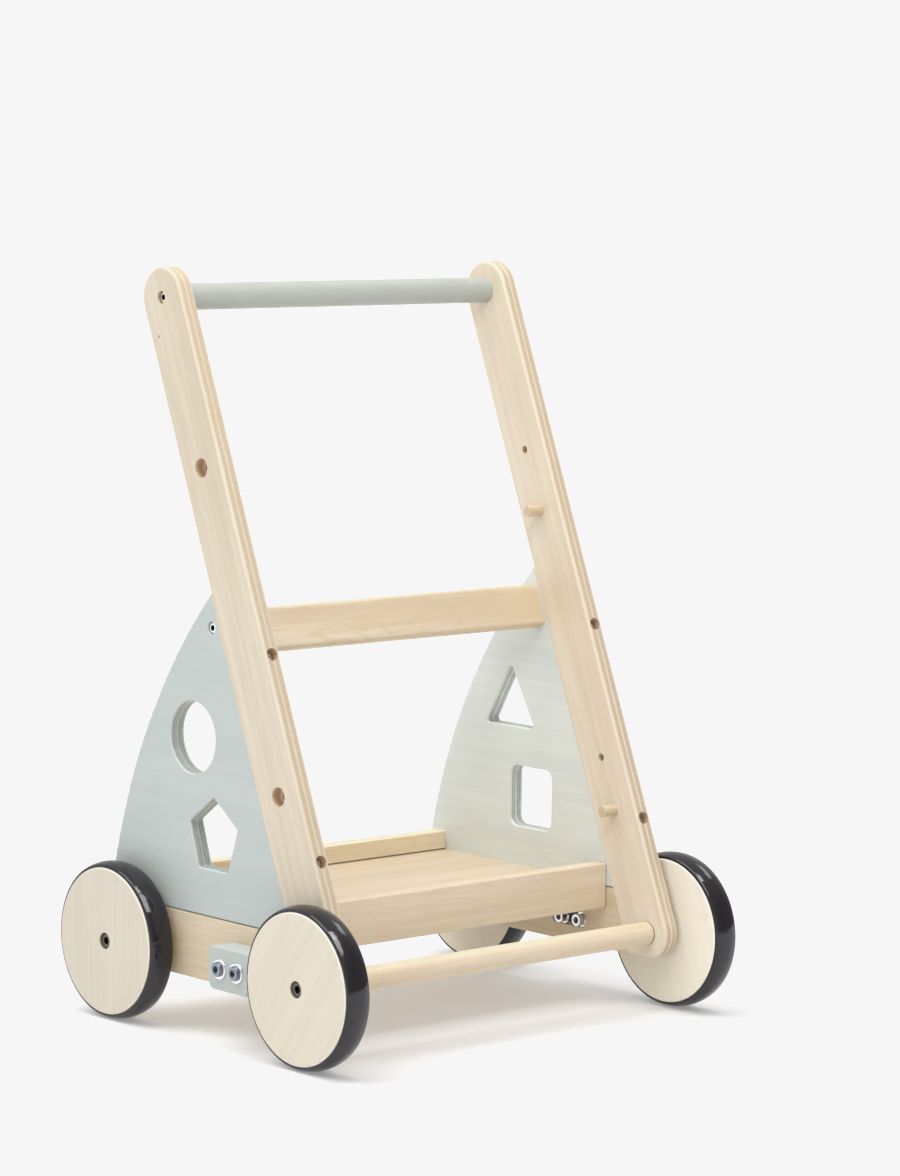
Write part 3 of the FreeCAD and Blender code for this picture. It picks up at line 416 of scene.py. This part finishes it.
# ---------------------------------------------------------------------------- metals
def metal(name, base, roughness, scratch=0.1):
    """Plated metal with fine scratches and painted shade in its recesses."""
    pattern = Pattern(name)
    fine = pattern.noise(pattern.cells((0.0003, 0.002, 0.0003)), 2.0, 0.6)
    crevice = pattern.node("ShaderNodeAmbientOcclusion", samples=8)
    crevice.inputs["Distance"].default_value = 0.002
    painted_shade = pattern.step(crevice.outputs["AO"], 0.15, 0.55, 1.0, 0.0)
    # painted shade: dark grey wherever ambient occlusion finds a recess
    colour = pattern.mix(painted_shade, base, paint(58, 54, 52))
    rough = pattern.step(fine, 0.3, 0.7, roughness, roughness + scratch)
    normal = pattern.bump(fine, 0.00001)
    return pattern.finish(Base_Color=colour, Roughness=rough, Normal=normal, Metallic=1.0)


def screw(name, node, socket):
    """Bright zinc screw, seen along X, with painted shade filling its socket out to that radius."""
    low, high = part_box(node)
    pattern = Pattern(name)
    _, y, z = pattern.split(pattern.place)
    across = pattern.math("SUBTRACT", y, 0.5 * (low.y + high.y))
    up = pattern.math("SUBTRACT", z, 0.5 * (low.z + high.z))
    radius = pattern.vector("LENGTH", pattern.join(0.0, across, up), result="Value")
    fine = pattern.noise(pattern.cells((0.0003, 0.0003, 0.0003)), 2.0, 0.6)
    rim = pattern.step(radius, socket, socket + 0.0004)
    # painted shade: the socket drawn near black
    colour = pattern.mix(rim, paint(48, 47, 52), paint(248, 249, 252))
    rough = pattern.step(fine, 0.3, 0.7, 0.22, 0.34)
    normal = pattern.bump(fine, 0.00001)
    return pattern.finish(Base_Color=colour, Roughness=rough, Normal=normal, Metallic=1.0)


def brake_bolt(name):
    """Bright flanged bolt with a duller flat on its head and painted shade in its hex socket."""
    low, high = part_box("brake_bolts_left")
    flange = 0.5 * (high.z - low.z)
    pattern = Pattern(name)
    _, y, z = pattern.split(pattern.place)
    along = pattern.math("MINIMUM", *[
        pattern.math("ABSOLUTE", pattern.math("SUBTRACT", y, centre))
        for centre in (low.y + flange, high.y - flange)
    ])
    up = pattern.math("SUBTRACT", z, low.z + flange)
    radius = pattern.vector("LENGTH", pattern.join(0.0, along, up), result="Value")
    fine = pattern.noise(pattern.cells((0.0003, 0.0003, 0.0003)), 2.0, 0.6)
    head = pattern.step(radius, 0.0049, 0.0053, 1.0, 0.0)
    rings = pattern.math("PINGPONG", pattern.math("MULTIPLY", radius, 1300.0), 1.0)
    face = pattern.mix(rings, paint(120, 122, 132), paint(172, 175, 184))
    colour = pattern.mix(head, paint(234, 236, 240), face)
    # painted shade: the hex socket drawn dark
    colour = pattern.mix(pattern.step(radius, 0.0018, 0.0023, 1.0, 0.0), colour, paint(60, 60, 68))
    rough = pattern.math("MULTIPLY_ADD", head, 0.16, pattern.step(fine, 0.3, 0.7, 0.08, 0.16))
    normal = pattern.bump(fine, 0.00001)
    return pattern.finish(Base_Color=colour, Roughness=rough, Normal=normal, Metallic=1.0)


def nylon(name):
    """Natural nylon, slightly clouded."""
    pattern = Pattern(name)
    clouds = pattern.noise(pattern.cells((0.004, 0.004, 0.004)), 2.0)
    colour = pattern.mix(clouds, paint(228, 226, 214), paint(212, 208, 194))
    return pattern.finish(Base_Color=colour, Roughness=pattern.step(clouds, 0.3, 0.7, 0.35, 0.5))


# ---------------------------------------------------------------------- dress the CAD
def dress(material, *names):
    """Give CAD nodes a material in place of their packed one."""
    for name in names:
        for slot in nodes[name].material_slots:
            slot.link = "OBJECT"
            slot.material = material


def both(pair):
    """The left and the right node of a pair."""
    return [f"{pair}_left", f"{pair}_right"]


CORNERS = [f"{end}_{side}" for end in ("front", "rear") for side in ("left", "right")]
DISC_TURNS = {"front_left": 35.0, "front_right": -20.0, "rear_left": 0.0, "rear_right": 60.0}
SCREW_SOCKET_SHADE = 0.0018
# each wheel's tone of wood, partly real variation and partly painted light: the front right disc, seen on
# its shaded inner face, is drawn lightest
DISC_TONES_AND_LIGHT = {
    "front_left": (221, 214, 196),
    "front_right": (240, 234, 219),
    "rear_left": (214, 206, 190),
    "rear_right": (226, 218, 200),
}


def dress_all():
    """Every material on every node."""
    birch = (paint(221, 210, 191), paint(206, 192, 168), PORE)
    dress(plywood("birch_ply_left", UP_THE_SLOPE, *birch), "upright_left")
    # painted light: the right upright gets a lighter copy of the same birch, standing in for light on its
    # inner face
    birch = (paint(229, 218, 199), paint(215, 200, 176), PORE)
    dress(plywood("birch_ply_right_lit", UP_THE_SLOPE, *birch), "upright_right")

    rail = (paint(221, 206, 181), paint(205, 185, 154), PORE)
    dress(solid_wood("rail_wood", ALONG_Y, *rail), *both("side_rail"))
    dress(solid_wood("cross_rail_wood", ACROSS_X, *rail, figured=1.3), "cross_rail")

    tray = (paint(227, 212, 189), paint(211, 191, 161), PORE)
    base = (paint(215, 200, 176), paint(199, 180, 150), PORE)
    dress(solid_wood("tray_floor_wood", ACROSS_X, *base), "tray_floor")
    front = solid_wood("tray_front_wood", ACROSS_X, *tray, start=(0.3, 0.1, 0.2), joint=(0, FACE_IN, 0.0))
    dress(front, "tray_front_board")
    back = (paint(243, 231, 206), paint(230, 210, 176), PORE)
    seam = (2, FLOOR_TOP + 0.0004, REAR_FACE)
    rear = solid_wood("tray_rear_wood", ACROSS_X, *back, start=(0.1, 0.3, 0.4), joint=seam)
    dress(rear, "tray_rear_board")

    bar = (paint(226, 210, 185), paint(212, 192, 162), PORE)
    dress(solid_wood("bar_wood", ACROSS_X, *bar, joint=(0, FACE_IN - 0.0003, 0.0)), "front_crossbar")
    dowels = solid_wood("dowel_wood", ACROSS_X, *bar)
    dress(dowels, "tray_dowels", *both("panel_dowels"), *both("foot_dowels"))
    peg = (paint(213, 195, 168), paint(198, 176, 146), PORE)
    dress(solid_wood("peg_wood", ACROSS_X, *peg), *both("peg_upper"), *both("peg_lower"))

    for corner, degrees in DISC_TURNS.items():
        turn = (math.radians(degrees), 0.0, 0.0)
        pale = DISC_TONES_AND_LIGHT[corner]
        disc = (paint(*pale), paint(pale[0] - 6, pale[1] - 8, pale[2] - 10), PORE)
        dress(wheel_wood(f"disc_{corner}", turn, disc, degrees), f"wheel_disc_{corner}")

    dress(painted("panel_paint_left", PAINT, PAINT_DEEP, with_layers=True), "side_panel_left")
    # painted light: the right panel gets the lighter copy of the paint
    dress(painted("panel_paint_right_lit", PAINT_RIGHT_LIT, PAINT, with_layers=True), "side_panel_right")
    dress(painted("block_paint", BLOCK_PAINT, PAINT_DEEP), *both("brake_block"))
    dress(painted("handle_paint", HANDLE_PAINT, HANDLE_DEEP), "handle")

    dress(rubber("tyre_rubber"), *[f"tyre_{corner}" for corner in CORNERS])
    dress(nylon("bush_nylon"), *[f"wheel_bush_{corner}" for corner in CORNERS])
    steel = metal("axle_steel", paint(104, 100, 98), 0.2)
    dress(steel, *[f"axle_{part}_{corner}" for part in ("bolt", "sleeve") for corner in CORNERS])
    dress(metal("insert_brass", paint(200, 168, 104), 0.3), *[f"axle_insert_{corner}" for corner in CORNERS])
    dress(brake_bolt("bolt_chrome"), *both("brake_bolts"))
    dress(metal("nut_chrome", paint(222, 224, 230), 0.08), *both("brake_nuts"))
    for name in ("handle_screw", "cross_rail_screw"):
        dress(screw(name, f"{name}_left", SCREW_SOCKET_SHADE), *both(name))
    zinc = metal("screw_zinc", paint(226, 228, 232), 0.14)
    dress(zinc, *both("upright_screw_upper"), *both("upright_screw_lower"))


# ---------------------------------------------------------------------------- studio
def make_floor():
    """Wide pale floor that fills the picture."""
    half = 0.5 * FLOOR_SIZE
    mesh = bpy.data.meshes.new("floor")
    corners = [(-half, -half, 0), (half, -half, 0), (half, half, 0), (-half, half, 0)]
    mesh.from_pydata(corners, [], [(0, 1, 2, 3)])
    floor = bpy.data.objects.new("floor", mesh)
    bpy.context.scene.collection.objects.link(floor)
    pattern = Pattern("studio_floor")
    pattern.shader.inputs["Specular IOR Level"].default_value = 0.0
    mesh.materials.append(pattern.finish(
        Base_Color=FLOOR_COLOUR, Roughness=1.0, Emission_Color=FLOOR_GLOW, Emission_Strength=1.0
    ))
    return floor


def make_room():
    """White room as seen from the walker: even light, darker behind the camera, and
    soft lamps overhead and to the left."""
    world = bpy.data.worlds.new("studio")
    bpy.context.scene.world = world
    world.use_nodes = True
    tree = world.node_tree
    links = tree.links
    tree.nodes.clear()

    def node(kind, *values, **settings):
        made = tree.nodes.new(kind)
        for key, value in settings.items():
            setattr(made, key, value)
        for socket, value in zip(made.inputs, values):
            if isinstance(value, bpy.types.NodeSocket):
                links.new(value, socket)
            elif value is not None:
                socket.default_value = value
        return made

    def calc(operation, *values):
        return node("ShaderNodeMath", *values, operation=operation).outputs[0]

    def smooth(value, low, high, start, end):
        made = node("ShaderNodeMapRange", value, low, high, start, end)
        made.interpolation_type = "SMOOTHSTEP"
        return made.outputs[0]

    direction = node("ShaderNodeTexCoord").outputs["Generated"]

    def toward_share(axis):
        """How far the direction looked in points along an axis."""
        made = node("ShaderNodeVectorMath", direction, tuple(axis), operation="DOT_PRODUCT")
        return made.outputs["Value"]

    def lamp(toward, sideways, half_width, half_height, soft):
        """1 inside a soft-edged rectangle that faces the walker from that direction."""
        toward = Vector(toward).normalized()
        wide = Vector(sideways)
        wide = (wide - toward * wide.dot(toward)).normalized()
        high = toward.cross(wide)
        ahead = toward_share(toward)
        shares = [smooth(ahead, 0.0, 0.05, 0.0, 1.0)]
        for axis, half in ((wide, half_width), (high, half_height)):
            along = toward_share(axis)
            slope = calc("DIVIDE", calc("ABSOLUTE", along), calc("MAXIMUM", ahead, 0.001))
            shares.append(smooth(slope, half - soft, half + soft, 1.0, 0.0))
        return calc("MULTIPLY", shares[0], calc("MULTIPLY", shares[1], shares[2]))

    away = toward_share(DARK_WAY)
    room = smooth(away, 0.2, 0.9, ROOM, DARK_SIDE)
    key = calc("MULTIPLY", lamp(*KEY_LAMP), KEY_LIGHT)
    spark = calc("MULTIPLY", lamp(*SPARK_LAMP), SPARK_LIGHT)
    side = calc("MULTIPLY", lamp(*SIDE_LAMP), SIDE_LIGHT)
    total = calc("ADD", calc("ADD", room, side), calc("ADD", key, spark))
    seen = node("ShaderNodeLightPath").outputs["Is Camera Ray"]
    background = node("ShaderNodeBackground", (1.0, 1.0, 1.0, 1.0), calc("MAXIMUM", total, seen))
    links.new(background.outputs[0], node("ShaderNodeOutputWorld").inputs[0])


# toward, sideways, half width, half height and softness of edge, as slopes
KEY_LAMP = ((-0.35, 0.25, 0.9), (1.0, 0.0, 0.0), 0.42, 0.3, 0.06)
KEY_LIGHT = 3.0
# small bright bulb that draws sharp glints on rubber and metal
SPARK_LAMP = ((0.05, -0.2, 1.0), (1.0, 0.0, 0.0), 0.15, 0.1, 0.03)
SPARK_LIGHT = 8.0
# a softbox high on the right, which smears along the tyres' shoulders
SIDE_LAMP = ((0.65, 0.07, 0.75), (0.0, 1.0, 0.0), 0.16, 0.1, 0.05)
SIDE_LIGHT = 3.0
# a dark screen to the right of the camera, which the tyres reflect
DARK_WAY = (0.66, -0.75, 0.0)
DARK_SIDE = 0.25


def make_lamp(floor):
    """Softbox above and in front, close enough to light the inside of the walker.

    The floor is left out of its light, so the shadows come from the room alone."""
    lamp = bpy.data.lights.new("softbox", "AREA")
    lamp.shape = "RECTANGLE"
    lamp.size = LAMP_WIDTH
    lamp.size_y = LAMP_DEPTH
    lamp.energy = LAMP_POWER
    light = bpy.data.objects.new("softbox", lamp)
    bpy.context.scene.collection.objects.link(light)
    light.location = LAMP_PLACE
    light.rotation_mode = "QUATERNION"
    light.rotation_quaternion = (LAMP_AIM - LAMP_PLACE).to_track_quat("-Z", "Y")
    unlit = bpy.data.collections.new("unlit_by_softbox")
    unlit.objects.link(floor)
    light.light_linking.receiver_collection = unlit
    unlit.collection_objects[0].light_linking.link_state = "EXCLUDE"


LAMP_PLACE = Vector((-0.35, -0.75, 1.5))
LAMP_AIM = Vector((0.05, 0.0, 0.15))
LAMP_WIDTH = 0.9
LAMP_DEPTH = 0.7
LAMP_POWER = 12.0


def make_camera():
    """Camera at the picture's angle, with its principal point in the middle."""
    flat = math.cos(CAMERA_ELEVATION)
    back = Vector((
        math.sin(CAMERA_AZIMUTH) * flat,
        -math.cos(CAMERA_AZIMUTH) * flat,
        math.sin(CAMERA_ELEVATION),
    ))
    camera = bpy.data.objects.new("camera", bpy.data.cameras.new("camera"))
    bpy.context.scene.collection.objects.link(camera)
    camera.location = TARGET + back * CAMERA_DISTANCE
    camera.rotation_mode = "QUATERNION"
    level = (-back).to_track_quat("-Z", "Y")
    camera.rotation_quaternion = level @ Quaternion((0.0, 0.0, 1.0), CAMERA_ROLL)
    camera.data.lens = LENS
    camera.data.sensor_width = SENSOR
    camera.data.clip_start = NEAR_CLIP
    camera.data.clip_end = FAR_CLIP
    bpy.context.scene.camera = camera


def set_exposure():
    """Plain colours, with everything brighter than paper white held at it, so that the
    floor and the background meet without a horizon."""
    view = bpy.context.scene.view_settings
    view.view_transform = "Standard"
    view.use_curve_mapping = True
    curve = view.curve_mapping.curves[3]
    curve.points[1].location = (1.0, PAPER)
    curve.points.new(PAPER, PAPER)
    for point in curve.points:
        point.handle_type = "VECTOR"
    view.curve_mapping.update()


dress_all()
make_lamp(make_floor())
make_room()
make_camera()
set_exposure()
